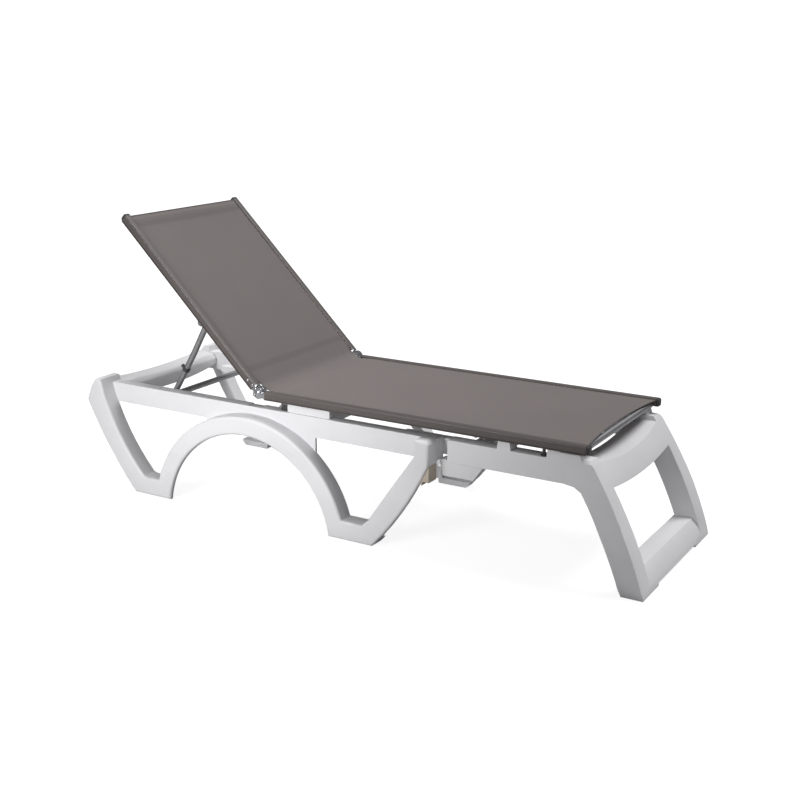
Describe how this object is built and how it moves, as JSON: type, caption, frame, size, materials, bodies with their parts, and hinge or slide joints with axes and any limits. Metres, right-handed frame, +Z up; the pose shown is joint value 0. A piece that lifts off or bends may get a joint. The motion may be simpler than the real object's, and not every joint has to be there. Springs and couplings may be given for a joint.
{
  "type": "reclining sun lounger",
  "caption": "Sun lounger with arched moulded base, aluminium sling frame, hinged reclining back and fold-out support bail.",
  "frame": {"origin": "on the floor under the middle of the lounger's bounding box", "axes": "+X towards the foot end, +Y to the left of a person lying on it, +Z up"},
  "size_m": [2.012, 0.68, 0.9475],
  "materials": {
    "resin_white": "satin moulded resin, fine texture",
    "resin_beige": "satin",
    "rail_taupe": "powder coated",
    "tube_grey": "satin drawn tube",
    "plastic_dark": "satin",
    "steel": "zinc plated",
    "chrome": "polished",
    "sling": "woven coated mesh"
  },
  "bodies": {
    "base": {"side_frame_right": "resin_white", "side_frame_left": "resin_white", "head_crossbeam": "resin_white", "mid_crossbeam": "resin_white", "notch_rack_right": "resin_white", "notch_rack_left": "resin_white", "foot_frame": "resin_white", "coupling_wedge_right": "resin_beige", "coupling_wedge_left": "resin_beige", "coupling_bolts": "steel", "seat_rail_right": "rail_taupe", "seat_rail_left": "rail_taupe", "seat_end_caps": "plastic_dark", "seat_head_tube": "tube_grey", "seat_mid_tube": "tube_grey", "seat_foot_tube": "tube_grey", "seat_clips": "plastic_dark", "seat_bolts": "plastic_dark", "seat_knuckle_right": "chrome", "seat_knuckle_left": "chrome", "hinge_pins": "chrome", "seat_rivets": "chrome", "sling_seat": "sling"},
    "back": {"back_rail_right": "rail_taupe", "back_rail_left": "rail_taupe", "back_end_caps": "plastic_dark", "back_lower_tube": "tube_grey", "back_upper_tube": "tube_grey", "back_knuckle_right": "chrome", "back_knuckle_left": "chrome", "back_rivets": "chrome", "bail_bracket_right": "tube_grey", "bail_bracket_left": "tube_grey", "bail_pins": "chrome", "bail_spacers": "plastic_dark", "sling_back": "sling"},
    "bail": {"bail": "tube_grey", "bail_eyes": "tube_grey", "bail_clips": "plastic_dark"}
  },
  "joints": [
    {"name": "recline", "type": "hinge", "parent": "base", "child": "back", "pos_m": [-0.3, 0, 0.414], "axis": [0, 1, 0], "range_deg": [-44.5, 8]},
    {"name": "bail_swing", "type": "hinge", "parent": "back", "child": "bail", "pos_m": [-0.54356, 0, 0.61129], "axis": [0, 1, 0], "range_deg": [-20, 108]}
  ],
  "couplings": [
    {"joint": "bail_swing", "follows": "recline", "ratio": -2.42}
  ]
}
